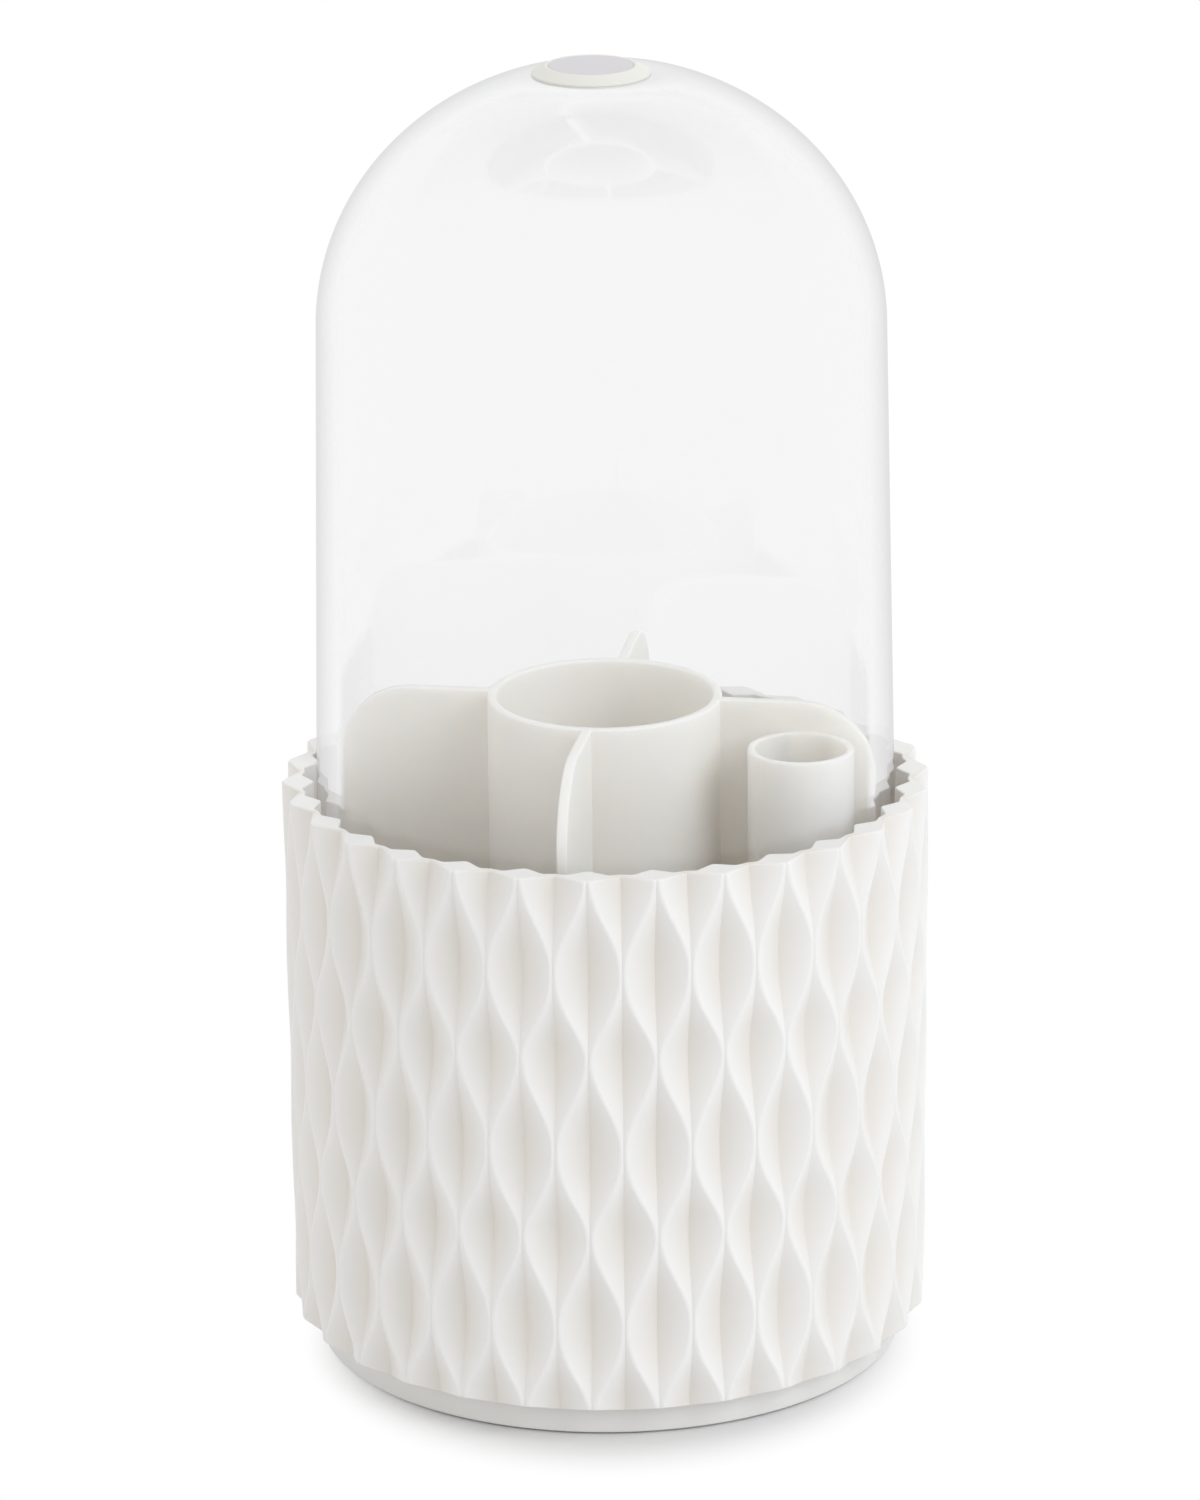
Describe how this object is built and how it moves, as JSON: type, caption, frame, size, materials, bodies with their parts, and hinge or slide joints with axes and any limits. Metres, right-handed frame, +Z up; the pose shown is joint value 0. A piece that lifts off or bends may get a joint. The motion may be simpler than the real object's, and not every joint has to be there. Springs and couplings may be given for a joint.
{
  "type": "rotating makeup organizer",
  "caption": "Rotating round makeup organizer: leaf-relief tub on a ball-bearing foot, lift-out divider with cups and radial walls, and a tall clear dome lid with a badge.",
  "frame": {"origin": "on the table, under the centre of the foot, where the pivot's axis meets the plane of the rubber pads", "axes": "+Z up along the pivot's axis; -Y faces the viewer of the picture; the lipstick cup lies to the front right"},
  "size_m": [0.14, 0.14, 0.2841],
  "materials": {
    "tub_white": "satin moulded white plastic, warm in its hollows",
    "inner_white": "plain moulded white plastic",
    "foot_white": "smooth moulded off-white plastic",
    "divider_ivory": "satin moulded ivory plastic",
    "dome_clear": "clear polished plastic",
    "badge_cream": "satin cream plastic",
    "badge_lavender": "satin lavender-grey plastic",
    "screw_steel": "zinc-plated steel",
    "washer_steel": "plain steel",
    "ball_steel": "polished steel",
    "cage_plastic": "natural grey plastic",
    "pad_rubber": "soft grey rubber"
  },
  "bodies": {
    "base": {"base_foot": "foot_white", "foot_pads": "pad_rubber"},
    "cage": {"ball_cage": "cage_plastic", "bearing_balls": "ball_steel"},
    "tub": {"tub": "tub_white", "tub_floor": "inner_white", "turntable_plate": "inner_white", "plate_screws": "screw_steel", "pivot_screw": "screw_steel", "pivot_washer": "washer_steel"},
    "divider": {"insert": "divider_ivory"},
    "lid": {"dome": "dome_clear", "badge_base": "badge_cream", "badge_inlay": "badge_lavender"}
  },
  "joints": [
    {"name": "tub_spin", "type": "hinge", "parent": "base", "child": "tub", "pos_m": [0, 0, 0.0083], "axis": [0, 0, 1], "continuous": true},
    {"name": "cage_spin", "type": "hinge", "parent": "base", "child": "cage", "pos_m": [0, 0, 0.0083], "axis": [0, 0, 1], "continuous": true},
    {"name": "dome_lift", "type": "slide", "parent": "tub", "child": "lid", "axis": [0, 0, 1], "range_m": [0, 0.24]},
    {"name": "insert_lift", "type": "slide", "parent": "tub", "child": "divider", "axis": [0, 0, 1], "range_m": [0, 0.12]}
  ],
  "couplings": [
    {"joint": "cage_spin", "follows": "tub_spin", "ratio": 0.5},
    {"joint": "insert_lift", "follows": "dome_lift", "ratio": 0.5}
  ]
}
